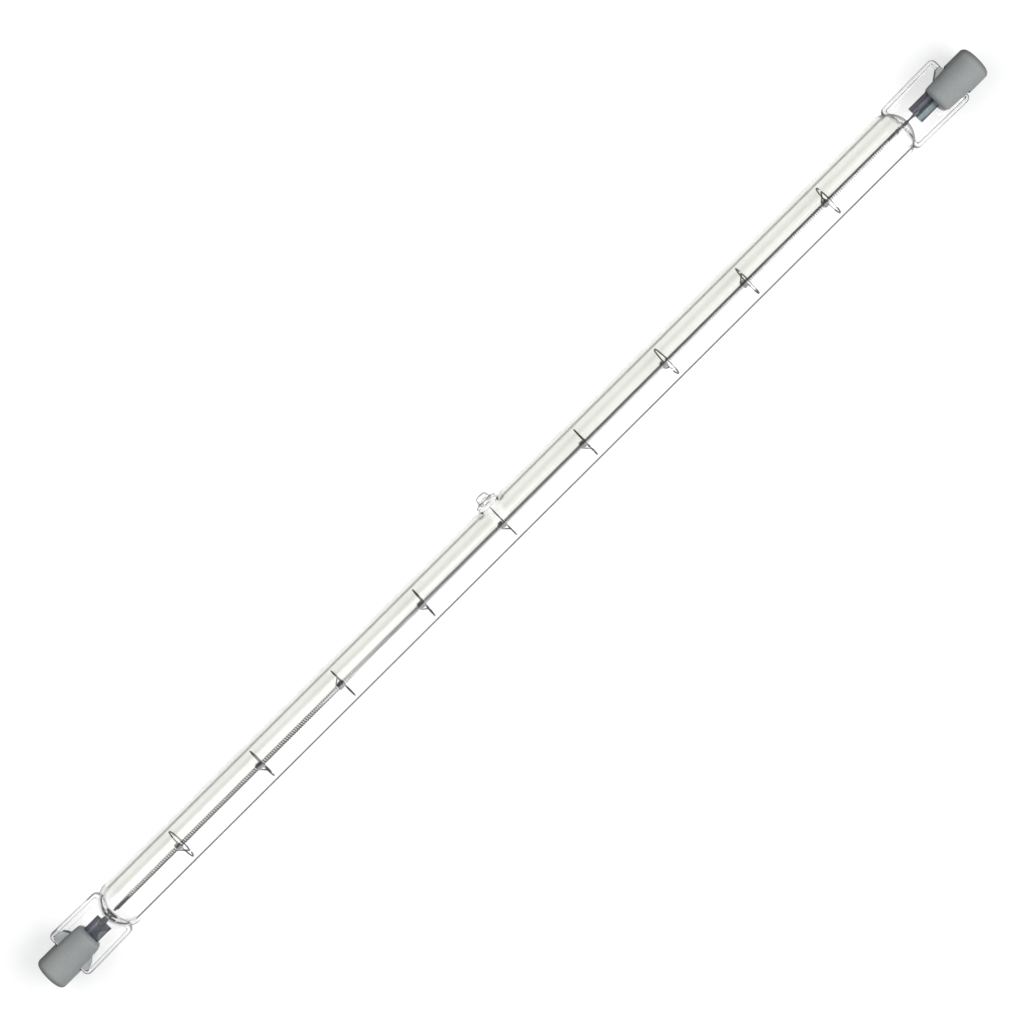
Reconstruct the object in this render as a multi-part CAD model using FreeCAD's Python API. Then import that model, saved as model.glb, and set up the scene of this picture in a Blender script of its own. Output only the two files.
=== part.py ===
import FreeCAD, Part
import math
import os
from FreeCAD import Vector

# A double-ended linear halogen bulb, built piece by piece. All sizes are in millimetres.
# +X runs along the tube, +Y points to the melted exhaust tip and +Z is up.
# The origin is the middle of the bulb on the axis of its tube, which lies on its side.

# Contacts: the distance between their faces and how deep they sit in the caps
contact_length = 250.7
contact_recess = 1.7
button_diameter = 2.8
button_thickness = 0.5
button_edge = 0.15
button_clearance = 0.05
stem_diameter = 1.6
stem_inset = 0.5
stem_floor = 0.5

# Ceramic caps: round heads with two jaws, which narrow a little towards their ends
cap_diameter = 7.2
jaw_end_diameter = 6.9
cap_length = 11.6
cap_edge = 0.65
jaw_edge = 0.9
slot_depth = 6.3
recess_diameter = 3.4
stem_hole_clearance = 0.1
left_cap_shift = -0.17
right_cap_shift = -1.0

# Cement between caps and glass
cement_gap = 0.15
cement_bed = 0.6
cement_setback = 0.8
cement_lump_length = 3.0
cement_crest_length = 1.5
left_cement_reach = 1.6
left_cement_reach_behind = 1.0
right_cement_reach = 1.5
right_cement_reach_behind = 0.4

# Quartz tube
tube_diameter = 10.0
tube_wall = 1.0

# Press seals: a web between two thicker rims, a little wider at its outer end
seal_inner_width = 10.4
seal_outer_width = 11.0
seal_root = 2.6
rim_width = 0.8
rim_thickness = 2.9
web_thickness = 2.3
seal_inner_corner = 1.2
seal_outer_corner = 0.8
rim_edge = 0.45
web_edge = 0.3

# Each end was pressed by itself, so the two differ: the web from the dome to the seal's outer end,
# the depth of the dome, the glass in front of the bore and the depth of the bore's rounded end
left_web_length = 9.8
left_dome_depth = 4.3
left_end_wall = 1.0
left_bore_dome_depth = 3.2
right_web_length = 12.0
right_dome_depth = 4.0
right_end_wall = 1.6
right_bore_dome_depth = 1.8

# Exhaust tip, with its heights counted from the tube's outside
tip_place = -1.45
tip_height = 2.25
tip_collar_radius = 2.2
tip_collar_height = 0.35
tip_nub_radius = 1.3
tip_nub_height = 1.15
tip_nub_edge = 0.5
tip_fillet = 0.9
tip_pocket_radius = 2.1
tip_pocket_neck_radius = 0.85
tip_pocket_neck_height = 0.3
tip_pocket_crown = 0.65
tip_pocket_crown_radius = 0.28

# Seal foils, off the middle of the web by foil_shift
foil_width = 3.8
foil_thickness = 0.05
foil_shift = -0.25
foil_cover = 1.3
left_foil_inset = 0.3
right_foil_inset = 1.5

# Leads: round wire with a flattened tongue that is welded to the foil
lead_diameter = 0.6
outer_lead_diameter = 0.8
tongue_width = 1.1
tongue_thickness = 0.26
tongue_length = 2.6
weld_length = 1.6
lead_plug = 3.5

# Filament: the coil's envelope, with the lead pushed into its end
filament_wire = 0.225
left_coil_gap = 2.0
right_coil_gap = 0.5

# Filament supports: a grip wound round the coil that opens into a ring
support_count = 9
left_free_coil = 17.9
right_free_coil = 19.9
support_wire = 0.22
support_ring_diameter = 6.9
support_clearance = 0.01
grip_turns = 3
grip_pitch = 0.33
grip_setback = 0.25
flare_turns = 0.4
ring_turns = 0.88
# The way each wire swings out of its grip, as a turn about +X from +Y, and how its ring leans
support_turn = (180, 165, 20, 200, 185, 175, 190, 10, 0)
ring_lean = (0.0, 3.0, 2.6, 0.0, 0.0, 0.0, 4.5, 0.0, 1.0)
ring_cant = (0.0, 0.0, 0.0, 4.0, 0.0, 1.0, 0.0, 1.5, 0.0)

# Straight runs that the support wire is drawn with in a full turn of each stretch
grip_steps = 8
flare_steps = 15
ring_steps = 16

# How far a cutting shape reaches past what it cuts, and how closely places are compared
overshoot = 2.0
same_place = 1e-6

# Places along the lamp, the same at both ends
button_face = contact_length / 2
cap_end = button_face + contact_recess
button_back = button_face - button_thickness
cap_inner = cap_end - cap_length
slot_floor = cap_inner + slot_depth
seal_end = slot_floor - cement_bed
foil_outer = seal_end - foil_cover
stem_end = slot_floor + stem_inset
lead_end = button_back - stem_floor

# Sizes that follow from the others
tube_radius = tube_diameter / 2
bore_radius = tube_radius - tube_wall
slot_height = rim_thickness + 2 * cement_gap
foil_top = -tongue_thickness / 2
coil_diameter = lead_diameter + 2 * filament_wire
stem_hole_diameter = stem_diameter + 2 * stem_hole_clearance
# The support wire is drawn four-sided, with the section area of the round wire
support_side = support_wire * math.sqrt(math.pi) / 2

along = Vector(1, 0, 0)
across = Vector(0, 1, 0)
up = Vector(0, 0, 1)
origin = Vector(0, 0, 0)


class End:
    """One end of the lamp, with its places along +X; the left end is mirrored at the last."""

    def __init__(self, name, web_length, dome_depth, end_wall, bore_dome_depth, foil_inset, coil_gap,
                 cap_shift, cement_reach):
        self.name = name
        self.cement_reach = cement_reach
        self.dome_depth = dome_depth
        self.bore_dome_depth = bore_dome_depth
        self.cap_shift = cap_shift
        self.dome = seal_end - web_length
        self.bore = self.dome - end_wall
        self.foil = self.dome + foil_inset
        self.coil = self.bore - coil_gap

    def placed(self, shape):
        if self.name == "left":
            return shape.mirror(origin, along)
        return shape


left = End("left", left_web_length, left_dome_depth, left_end_wall, left_bore_dome_depth,
           left_foil_inset, left_coil_gap, left_cap_shift, (left_cement_reach, left_cement_reach_behind))
right = End("right", right_web_length, right_dome_depth, right_end_wall, right_bore_dome_depth,
            right_foil_inset, right_coil_gap, right_cap_shift, (right_cement_reach, right_cement_reach_behind))
ends = (left, right)


def rod(radius, start, stop, y=0.0):
    """A round bar along X from start to stop."""
    return Part.makeCylinder(radius, stop - start, Vector(start, y, 0), along)


def block(low, high):
    """A box between two corners."""
    size = high - low
    return Part.makeBox(size.x, size.y, size.z, low)


def rims(shape, place):
    """The edges of a shape that lie in one plane across X."""
    return [edge for edge in shape.Edges
            if edge.BoundBox.XLength < same_place and abs(edge.BoundBox.XMin - place) < same_place]


def uprights(shape, place):
    """The upright edges of a shape at one place along X."""
    return [edge for edge in rims(shape, place) if edge.BoundBox.YLength < same_place]


def fused(shapes):
    """One solid out of shapes that meet, with no seams left inside its faces."""
    return shapes[0].multiFuse(shapes[1:]).removeSplitter()


def plan_prism(points, low, high):
    """A prism with its outline seen from above, between two heights."""
    corners = [Vector(x, y, low) for x, y in points]
    outline = Part.makePolygon(corners + corners[:1])
    return Part.Face(outline).extrude(up * (high - low))


def line(start, stop):
    return Part.LineSegment(start, stop).toShape()


def ball_cap(base, radius, height, way, sideways):
    """An arc from a wall at this radius onto the axis; turned round the axis it is the cap of a ball."""
    ball = (radius ** 2 + height ** 2) / (2 * height)
    centre = base + way * (height - ball)
    half_angle = math.atan2(radius, ball - height) / 2
    middle = centre + (way * math.cos(half_angle) + sideways * math.sin(half_angle)) * ball
    return Part.Arc(base + sideways * radius, middle, base + way * height).toShape()


def turned(edges, place, axis):
    """The solid that an outline on an axis makes when it is turned all the way round it."""
    return Part.Face(Part.Wire(edges)).revolve(place, axis, 360)


def rounded_tube(radius, left_apex, left_depth, right_apex, right_depth):
    """A bar along X with domed ends, drawn with its seam on top."""
    left_base = along * (left_depth - left_apex)
    right_base = along * (right_apex - right_depth)
    return turned([ball_cap(left_base, radius, left_depth, along * -1, up),
                   line(left_base + up * radius, right_base + up * radius),
                   ball_cap(right_base, radius, right_depth, along, up),
                   line(along * right_apex, along * -left_apex)], origin, along)


def seal_plate(end):
    """The pressed flat end of the tube: a web with a bead-like rim along each long edge."""
    start = end.dome - seal_root
    inner = seal_inner_width / 2
    outer = seal_outer_width / 2
    half = rim_thickness / 2
    web = web_thickness / 2
    plate = plan_prism(((start, -inner), (seal_end, -outer), (seal_end, outer), (start, inner)), -half, half)
    plate = plate.makeFillet(seal_inner_corner, uprights(plate, start))
    plate = plate.makeFillet(seal_outer_corner, uprights(plate, seal_end))
    plate = plate.makeChamfer(rim_edge, [edge for edge in plate.Edges if edge.BoundBox.ZLength < same_place])
    pocket = ((start - overshoot, rim_width - inner), (seal_end + overshoot, rim_width - outer),
              (seal_end + overshoot, outer - rim_width), (start - overshoot, inner - rim_width))
    for low, high in ((web, rim_thickness), (-rim_thickness, -web)):
        cutter = plan_prism(pocket, low, high)
        floor = [edge for edge in cutter.Edges
                 if edge.BoundBox.XLength > overshoot and abs(abs(edge.CenterOfMass.z) - web) < same_place]
        plate = plate.cut(cutter.makeChamfer(web_edge, floor))
    return plate


def on_tip_axis(outline):
    """The solid turned round the tip's axis from an outline of radius and height above the tube's axis."""
    foot = along * tip_place
    points = [foot + Vector(radius, height, 0) for radius, height in outline]
    return turned([line(first, second) for first, second in zip(points, points[1:] + points[:1])], foot, across)


def exhaust_tip():
    """The stub that is left where the exhaust tube was melted off: a collar with a blunt nub on it."""
    top = tube_radius + tip_height
    return on_tip_axis(((0, bore_radius), (tip_collar_radius, bore_radius),
                        (tip_collar_radius, tube_radius + tip_collar_height),
                        (tip_nub_radius, tube_radius + tip_nub_height),
                        (tip_nub_radius, top - tip_nub_edge), (tip_nub_radius - tip_nub_edge, top), (0, top)))


def tip_pocket():
    """The hole under the tip, which narrows to a neck and closes to a blunt point."""
    neck = tube_radius + tip_pocket_neck_height
    top = neck + tip_pocket_crown
    return on_tip_axis(((0, 0), (tip_pocket_radius, 0), (tip_pocket_radius, bore_radius),
                        (tip_pocket_neck_radius, neck), (tip_pocket_crown_radius, top), (0, top)))


def quartz_envelope(embedded):
    """The tube with its two press seals and its tip, hollow, and moulded round what is embedded in it."""
    body = rounded_tube(tube_radius, left.dome, left.dome_depth, right.dome, right.dome_depth)
    body = fused([body, exhaust_tip()])
    root = [edge for edge in body.Edges
            if bore_radius < edge.BoundBox.YMin and edge.BoundBox.YMax < tube_radius + tip_collar_height / 2]
    body = body.makeFillet(tip_fillet, root)
    body = fused([body] + [end.placed(seal_plate(end)) for end in ends])
    bore = rounded_tube(bore_radius, left.bore, left.bore_dome_depth, right.bore, right.bore_dome_depth)
    return body.cut([bore, tip_pocket()] + embedded)


def lead(radius, tip, wire_stop, y):
    """A lead whose tongue starts at tip and whose round wire runs to wire_stop, either way along X."""
    side = 1 if wire_stop > tip else -1
    half_width = tongue_width / 2
    half_height = tongue_thickness / 2
    tongue_stop = tip + side * tongue_length
    low = Vector(min(tip, tongue_stop), y - half_width, -half_height)
    high = Vector(max(tip, tongue_stop), y + half_width, half_height)
    tongue = block(low, high)
    wire = Part.makeCylinder(radius, abs(wire_stop - tongue_stop), Vector(tongue_stop, y, 0), along * side)
    return fused([tongue, wire])


def inner_lead(end):
    return lead(lead_diameter / 2, end.foil + weld_length, end.coil - lead_plug, 0.0)


def outer_lead(end):
    return lead(outer_lead_diameter / 2, foil_outer - weld_length, lead_end, end.cap_shift)


def seal_foil(end):
    """The thin foil in the press seal, under the tongues of both leads."""
    half = foil_width / 2
    return block(Vector(end.foil, foil_shift - half, foil_top - foil_thickness),
                 Vector(foil_outer, foil_shift + half, foil_top))


def filament():
    """The coil's envelope: its outside, and its inside that the leads fill at the ends."""
    outside = rod(coil_diameter / 2, -left.coil, right.coil)
    return outside.cut(rod(lead_diameter / 2, -left.coil - overshoot, right.coil + overshoot))


def support_path():
    """The support's wire: the grip winds away from the ring, and the flare comes back over it.

    Each point is a turn, a place along X, a radius, and how far the wire has opened.
    """
    inner = coil_diameter / 2 + support_clearance + support_side / 2
    grip_radius = inner / math.cos(math.pi / grip_steps)
    ring_radius = (support_ring_diameter - support_side) / 2
    grip_end = -grip_setback - grip_turns * grip_pitch
    path = []
    count = grip_turns * grip_steps
    for step in range(count):
        path.append((step / grip_steps, -grip_setback - grip_pitch * step / grip_steps, grip_radius, 0.0))
    count = round(flare_turns * flare_steps)
    for step in range(count):
        part = step / count
        opened = part * part * (3 - 2 * part)
        radius = grip_radius + (ring_radius - grip_radius) * opened
        path.append((grip_turns + part * flare_turns, grip_end * (1 - opened), radius, opened))
    count = round(ring_turns * ring_steps)
    for step in range(count + 1):
        path.append((grip_turns + flare_turns + ring_turns * step / count, 0.0, ring_radius, 1.0))
    return path


def filament_support(index):
    """One support: its grip, the flare and the ring are a single wire, square in section."""
    first = left_free_coil - left.coil
    last = right.coil - right_free_coil
    middle = first + (last - first) * index / (support_count - 1)
    setting = index % len(support_turn)
    lean = math.tan(math.radians(ring_lean[setting]))
    cant = math.tan(math.radians(ring_cant[setting]))
    centres = []
    for turn, place, radius, opened in support_path():
        angle = math.radians(support_turn[setting]) + 2 * math.pi * (turn - grip_turns - flare_turns / 4)
        y = radius * math.cos(angle)
        z = radius * math.sin(angle)
        centres.append(Vector(middle + place + opened * (lean * z + cant * y), y, z))
    return square_wire(centres)


def square_wire(centres):
    """A wire of square section along straight runs, its sides kept square to X."""
    sections = []
    last = len(centres) - 1
    for number, centre in enumerate(centres):
        run = centres[min(number + 1, last)] - centres[max(number - 1, 0)]
        outward = run.cross(along).normalize() * (support_side / 2)
        sideways = outward.cross(run).normalize() * (support_side / 2)
        sections.append([centre + outward + sideways, centre - outward + sideways,
                         centre - outward - sideways, centre + outward - sideways])
    faces = [Part.Face(Part.makePolygon(corners + corners[:1])) for corners in (sections[0], sections[-1])]
    for first, second in zip(sections, sections[1:]):
        for corner in range(4):
            following = (corner + 1) % 4
            faces.append(Part.makeRuledSurface(line(first[corner], first[following]),
                                               line(second[corner], second[following])))
    shell = Part.Shell(faces)
    shell.sewShape()
    return Part.Solid(shell)


def contact_button(end):
    """The contact in the cap's recess, with a hollow stem that takes the outer lead."""
    y = end.cap_shift
    head = rod(button_diameter / 2, button_back, button_face, y)
    head = head.makeChamfer(button_edge, rims(head, button_face))
    stem = rod(stem_diameter / 2, stem_end, button_back, y)
    return fused([head, stem]).cut(rod(outer_lead_diameter / 2, stem_end, lead_end, y))


def ceramic_cap(end):
    """The cap: a round head with the contact's recess, and jaws that reach over the press seal."""
    y = end.cap_shift
    head = rod(cap_diameter / 2, slot_floor, cap_end, y)
    head = head.makeChamfer(cap_edge, rims(head, cap_end))
    jaws = Part.makeCone(jaw_end_diameter / 2, cap_diameter / 2, slot_floor - cap_inner,
                         Vector(cap_inner, y, 0), along)
    jaws = jaws.makeChamfer(jaw_edge, rims(jaws, cap_inner))
    slot = block(Vector(cap_inner - overshoot, y - cap_diameter, -slot_height / 2),
                 Vector(slot_floor, y + cap_diameter, slot_height / 2))
    recess = rod(recess_diameter / 2, button_face, cap_end + overshoot, y)
    seat = rod(button_diameter / 2 + button_clearance, button_back, button_face + overshoot, y)
    stem_hole = rod(stem_hole_diameter / 2, slot_floor - overshoot, button_back, y)
    return fused([head, jaws]).cut([slot, recess, seat, stem_hole])


def cap_cement(end, wire):
    """Cement that fills the slot round the press seal, with a lump beside the jaws on either side."""
    y = end.cap_shift
    slot = slot_height / 2
    jaw = math.sqrt((cap_diameter / 2) ** 2 - slot ** 2)
    inside = block(Vector(cap_inner + cement_setback, y - jaw, -slot), Vector(slot_floor, y + jaw, slot))
    lumps = []
    for side, reach in zip((1, -1), end.cement_reach):
        root = y + side * jaw
        peak = root + side * reach
        outline = ((seal_end - cement_lump_length, root), (seal_end - cement_crest_length, peak),
                   (seal_end, peak), (slot_floor, root))
        lumps.append(plan_prism(outline, -slot, slot))
    stem_space = rod(cap_diameter / 2, slot_floor, cap_end, y)
    return fused([inside] + lumps).cut([seal_plate(end), wire, stem_space])


def write(name, shape):
    """One file for one piece."""
    if shape.ShapeType != "Solid" and len(shape.Solids) == 1:
        shape = shape.Solids[0]
    shape.exportStep("parts/" + name + ".step")
    print(name, "solids", len(shape.Solids), "valid", shape.isValid(), "volume", round(shape.Volume, 4))


def main():
    os.makedirs("parts", exist_ok=True)
    embedded = []
    for end in ends:
        for name, make in (("seal_foil", seal_foil), ("inner_lead", inner_lead), ("outer_lead", outer_lead)):
            shape = end.placed(make(end))
            embedded.append(shape)
            write(name + "_" + end.name, shape)
    write("quartz_envelope", quartz_envelope(embedded))
    write("filament", filament())
    for index in range(support_count):
        write("filament_support_" + str(index + 1), filament_support(index))
    for end in ends:
        write("ceramic_cap_" + end.name, end.placed(ceramic_cap(end)))
        write("contact_button_" + end.name, end.placed(contact_button(end)))
        write("cap_cement_" + end.name, end.placed(cap_cement(end, outer_lead(end))))


main()
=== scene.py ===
import math

import bmesh
import bpy
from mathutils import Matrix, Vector


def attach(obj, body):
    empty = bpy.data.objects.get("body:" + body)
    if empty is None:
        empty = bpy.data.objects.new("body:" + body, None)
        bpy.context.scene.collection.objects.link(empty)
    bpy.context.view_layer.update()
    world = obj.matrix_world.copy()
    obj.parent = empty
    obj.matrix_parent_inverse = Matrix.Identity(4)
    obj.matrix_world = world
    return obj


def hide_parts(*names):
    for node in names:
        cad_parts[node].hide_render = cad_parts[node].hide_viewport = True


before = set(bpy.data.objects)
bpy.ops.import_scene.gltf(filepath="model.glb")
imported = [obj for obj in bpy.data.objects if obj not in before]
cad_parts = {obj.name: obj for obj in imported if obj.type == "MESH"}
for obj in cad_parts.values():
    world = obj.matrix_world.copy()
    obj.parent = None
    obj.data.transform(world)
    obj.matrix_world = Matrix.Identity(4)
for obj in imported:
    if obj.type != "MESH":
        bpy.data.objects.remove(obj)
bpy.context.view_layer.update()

# The looks of a double-ended linear halogen bulb. Sizes are in millimetres and are made metres by mm().
# +X runs along the tube, +Y points to the melted exhaust tip and +Z is up.
MILLIMETRE = 0.001

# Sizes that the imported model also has
TUBE_RADIUS = 5.0
BORE_RADIUS = 4.0
SEAL_ROOT = 2.6
SLOT_FLOOR = 121.75
SLOT_HALF = 1.6
CAP_INNER = 115.45
CAP_END = 127.05
CAP_RADIUS = 3.6
JAW_RADIUS = 3.45
RECESS_RADIUS = 1.7
BUTTON_FACE = 125.35
BUTTON_BACK = 124.85
BUTTON_RADIUS = 1.4
SEAT_RADIUS = 1.45
STEM_RADIUS = 0.8
TIP_PLACE = -1.45
SUPPORT_RING = 3.45
SUPPORT_SPACING = 22.2
SUPPORT_MIDDLE = -1.65
FOIL_LEVEL = -0.155
FOIL_HALF = 0.025
FOIL_SIDES = (-2.15, 1.65)
FOIL_OUTER_END = 119.85

# Wires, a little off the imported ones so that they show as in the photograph
COIL_RADIUS = 0.55
COIL_WIRE = 0.27
SUPPORT_WIRE = 0.28
LEAD_RADIUS = 0.26

# Each end's side, the shift of its cap and cement off the axis, and its places along the lamp; the bore's
# rounded end is given as places and radii, and the shell lies between the bore's wall and the outside
ENDS = {
    "left": {
        "side": -1, "shift": -0.17, "dome": 111.35, "dome_depth": 4.3, "foil": 111.85, "coil": 108.35,
        "seal": 121.6, "shell_start": 106.7, "shell_depth": 4.15, "bore_end": 110.35,
        "bore": ((107.15, 4.0), (107.8, 3.9), (108.3, 3.62), (108.8, 3.2), (109.3, 2.45), (109.7, 1.65),
                 (110.1, 0.8), (110.3, 0.3)),
    },
    "right": {
        "side": 1, "shift": -1.0, "dome": 109.15, "dome_depth": 4.0, "foil": 110.95, "coil": 107.05,
        "seal": 121.1, "shell_start": 104.6, "shell_depth": 3.85, "bore_end": 107.55,
        "bore": ((105.75, 4.0), (106.4, 3.9), (106.85, 3.7), (107.15, 3.35), (107.32, 2.8), (107.42, 2.1),
                 (107.49, 1.3), (107.53, 0.6)),
    },
}


def mm(*sizes):
    """Millimetres as metres: one number, or a tuple of them."""
    if len(sizes) == 1:
        return sizes[0] * MILLIMETRE
    return tuple(size * MILLIMETRE for size in sizes)


# Modelling by hand


def begin(name):
    """Names the primitive that was just added and goes into edit mode on it."""
    piece = bpy.context.object
    piece.name = name
    piece.data.name = name
    bpy.ops.object.mode_set(mode="EDIT")
    bpy.ops.mesh.select_mode(type="VERT")
    return piece


def settle(piece):
    """Back to object mode, with the piece's place in its mesh and its origin at the lamp's."""
    if piece.mode == "EDIT":
        bpy.ops.object.mode_set(mode="OBJECT")
    only(piece)
    bpy.ops.object.transform_apply(location=True, rotation=True, scale=True)
    return piece


def only(piece):
    """This piece alone is selected and active."""
    bpy.ops.object.select_all(action="DESELECT")
    piece.select_set(True)
    bpy.context.view_layer.objects.active = piece


def edit(piece):
    """This piece alone goes into edit mode."""
    only(piece)
    bpy.ops.object.mode_set(mode="EDIT")
    bpy.ops.mesh.select_mode(type="VERT")


def pick(piece, test):
    """Selects the points whose place, in millimetres, passes the test."""
    bpy.ops.mesh.select_mode(type="VERT")
    bpy.ops.mesh.select_all(action="DESELECT")
    mesh = bmesh.from_edit_mesh(piece.data)
    for point in mesh.verts:
        if test(point.co / MILLIMETRE):
            point.select_set(True)
    mesh.select_flush_mode()
    bmesh.update_edit_mesh(piece.data)


def pick_faces(piece, test):
    """Selects the faces whose middle, in millimetres, and normal pass the test."""
    mesh = bmesh.from_edit_mesh(piece.data)
    mesh.faces.ensure_lookup_table()
    bpy.ops.mesh.select_mode(type="FACE")
    for face in mesh.faces:
        face.select_set(bool(test(face.calc_center_median() / MILLIMETRE, face.normal)))
    bmesh.update_edit_mesh(piece.data)


def pull(x=0.0, y=0.0, z=0.0):
    """Extrudes what is selected by so many millimetres."""
    bpy.ops.mesh.extrude_region_move(TRANSFORM_OT_translate={"value": mm(x, y, z)})


def move(x=0.0, y=0.0, z=0.0):
    bpy.ops.transform.translate(value=mm(x, y, z))


def scale(x, y, z, centre=(0, 0, 0)):
    """Scales what is selected about a point."""
    bpy.ops.transform.resize(value=(x, y, z), center_override=mm(*centre))


def turn(degrees, axis, centre=(0, 0, 0)):
    """A right-handed turn about an axis through a point.

    Without a window the operator turns the other way.
    """
    bpy.ops.transform.rotate(value=-math.radians(degrees), orient_axis=axis, center_override=mm(*centre))


def turned(name, profile, segments, y=0.0):
    """A form turned round the X axis.

    A ring is pulled along the profile of places and radii, which starts and ends at radius 0.
    """
    rings = [step for step in profile if step[1] > 0]
    place, radius = rings[0]
    bpy.ops.object.select_all(action="DESELECT")
    bpy.ops.mesh.primitive_circle_add(vertices=segments, radius=mm(radius), fill_type="NOTHING",
                                      location=mm(place, y, 0), rotation=(0, math.pi / 2, 0))
    piece = begin(name)
    bpy.ops.mesh.select_all(action="SELECT")
    for (last, before), (place, radius) in zip(rings, rings[1:]):
        pull(place - last)
        scale(1, radius / before, radius / before, (place, y, 0))
    pull(profile[-1][0] - rings[-1][0])
    bpy.ops.mesh.merge(type="CENTER")
    bpy.ops.mesh.select_all(action="DESELECT")
    bpy.ops.mesh.select_non_manifold()
    pull(profile[0][0] - rings[0][0])
    bpy.ops.mesh.merge(type="CENTER")
    bpy.ops.mesh.select_all(action="SELECT")
    bpy.ops.mesh.normals_make_consistent(inside=False)
    return settle(piece)


def box(name, low, high):
    """A cube set to its size and place, left in edit mode."""
    bpy.ops.object.select_all(action="DESELECT")
    middle = [(a + b) / 2 for a, b in zip(low, high)]
    reach = [b - a for a, b in zip(low, high)]
    bpy.ops.mesh.primitive_cube_add(size=1, location=mm(*middle), scale=mm(*reach))
    settle(bpy.context.object)
    return begin(name)


def finish_modifier(piece, kind, **settings):
    """Adds one modifier with its settings and applies it."""
    only(piece)
    modifier = piece.modifiers.new(kind.title(), kind)
    for setting, value in settings.items():
        setattr(modifier, setting, value)
    bpy.ops.object.modifier_apply(modifier=modifier.name)


def combine(piece, other, operation):
    """Joins or cuts one solid with another, which is used up."""
    finish_modifier(piece, "BOOLEAN", object=other, operation=operation, solver="EXACT")
    bpy.data.objects.remove(other)


def smooth(piece, degrees):
    """Smooth shading, with sharp edges where faces meet at more than so many degrees."""
    only(piece)
    bpy.ops.object.shade_smooth_by_angle(angle=math.radians(degrees))


def arc(centre, radius, start, stop, steps):
    """Places and radii along a quarter round or any other arc, from one angle to another in degrees."""
    points = []
    for step in range(steps + 1):
        angle = math.radians(start + (stop - start) * step / steps)
        points.append((centre[0] + radius * math.cos(angle), centre[1] + radius * math.sin(angle)))
    return points


def mirrored(piece):
    """Turns an end's piece into the one at the other end."""
    edit(piece)
    bpy.ops.mesh.select_all(action="SELECT")
    scale(-1, 1, 1)
    bpy.ops.mesh.normals_make_consistent(inside=False)
    return settle(piece)


def place(piece, slot, material, *nodes):
    """Gives a finished piece its body, its material and the nodes it stands for, which are hidden; the slot
    is not used.
    """
    piece.data.materials.clear()
    piece.data.materials.append(material)
    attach(piece, "root")
    if nodes:
        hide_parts(*nodes)


# Materials


def speckle_group():
    """Shared effect: fine and coarse noise that mixes two colours and gives a height and a mask."""
    group = bpy.data.node_groups.new("Speckle", "ShaderNodeTree")
    sockets = group.interface
    for name, kind, value in (("Light", "NodeSocketColor", (0.8, 0.8, 0.8, 1)),
                              ("Dark", "NodeSocketColor", (0.2, 0.2, 0.2, 1)),
                              ("Coarse Scale", "NodeSocketFloat", 300.0),
                              ("Fine Scale", "NodeSocketFloat", 3000.0),
                              ("Fine Share", "NodeSocketFloat", 0.5)):
        sockets.new_socket(name=name, in_out="INPUT", socket_type=kind).default_value = value
    for name, kind in (("Color", "NodeSocketColor"), ("Mask", "NodeSocketFloat"),
                       ("Height", "NodeSocketFloat")):
        sockets.new_socket(name=name, in_out="OUTPUT", socket_type=kind)
    nodes, links = group.nodes, group.links
    inlet = nodes.new("NodeGroupInput")
    outlet = nodes.new("NodeGroupOutput")
    where = nodes.new("ShaderNodeTexCoord")
    coarse = nodes.new("ShaderNodeTexNoise")
    coarse.inputs["Detail"].default_value = 4
    fine = nodes.new("ShaderNodeTexNoise")
    fine.inputs["Detail"].default_value = 2
    links.new(where.outputs["Object"], coarse.inputs["Vector"])
    links.new(where.outputs["Object"], fine.inputs["Vector"])
    links.new(inlet.outputs["Coarse Scale"], coarse.inputs["Scale"])
    links.new(inlet.outputs["Fine Scale"], fine.inputs["Scale"])
    both = nodes.new("ShaderNodeMix")
    links.new(inlet.outputs["Fine Share"], both.inputs["Factor"])
    links.new(coarse.outputs["Fac"], both.inputs["A"])
    links.new(fine.outputs["Fac"], both.inputs["B"])
    spread = nodes.new("ShaderNodeMapRange")
    spread.inputs["From Min"].default_value = 0.35
    spread.inputs["From Max"].default_value = 0.65
    links.new(both.outputs["Result"], spread.inputs["Value"])
    colour = nodes.new("ShaderNodeMix")
    colour.data_type = "RGBA"
    links.new(spread.outputs["Result"], colour.inputs["Factor"])
    links.new(inlet.outputs["Dark"], colour.inputs["A"])
    links.new(inlet.outputs["Light"], colour.inputs["B"])
    links.new(colour.outputs["Result"], outlet.inputs["Color"])
    links.new(spread.outputs["Result"], outlet.inputs["Mask"])
    links.new(both.outputs["Result"], outlet.inputs["Height"])
    return group


def painted(name, light, dark, roughness, coarse=300.0, fine=3000.0, share=0.5, bump=0.0, metallic=0.0):
    """A material whose colour, roughness and bump come from the shared speckle."""
    material = bpy.data.materials.new(name)
    material.use_nodes = True
    nodes, links = material.node_tree.nodes, material.node_tree.links
    shader = nodes["Principled BSDF"]
    shader.inputs["Metallic"].default_value = metallic
    effect = nodes.new("ShaderNodeGroup")
    effect.node_tree = SPECKLE
    for socket, value in (("Light", (*light, 1)), ("Dark", (*dark, 1)), ("Coarse Scale", coarse),
                          ("Fine Scale", fine), ("Fine Share", share)):
        effect.inputs[socket].default_value = value
    links.new(effect.outputs["Color"], shader.inputs["Base Color"])
    rough = nodes.new("ShaderNodeMapRange")
    rough.inputs["To Min"].default_value = roughness[0]
    rough.inputs["To Max"].default_value = roughness[1]
    links.new(effect.outputs["Mask"], rough.inputs["Value"])
    links.new(rough.outputs["Result"], shader.inputs["Roughness"])
    if bump:
        relief = nodes.new("ShaderNodeBump")
        relief.inputs["Strength"].default_value = 0.6
        relief.inputs["Distance"].default_value = mm(bump)
        links.new(effect.outputs["Height"], relief.inputs["Height"])
        links.new(relief.outputs["Normal"], shader.inputs["Normal"])
    return material


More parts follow.
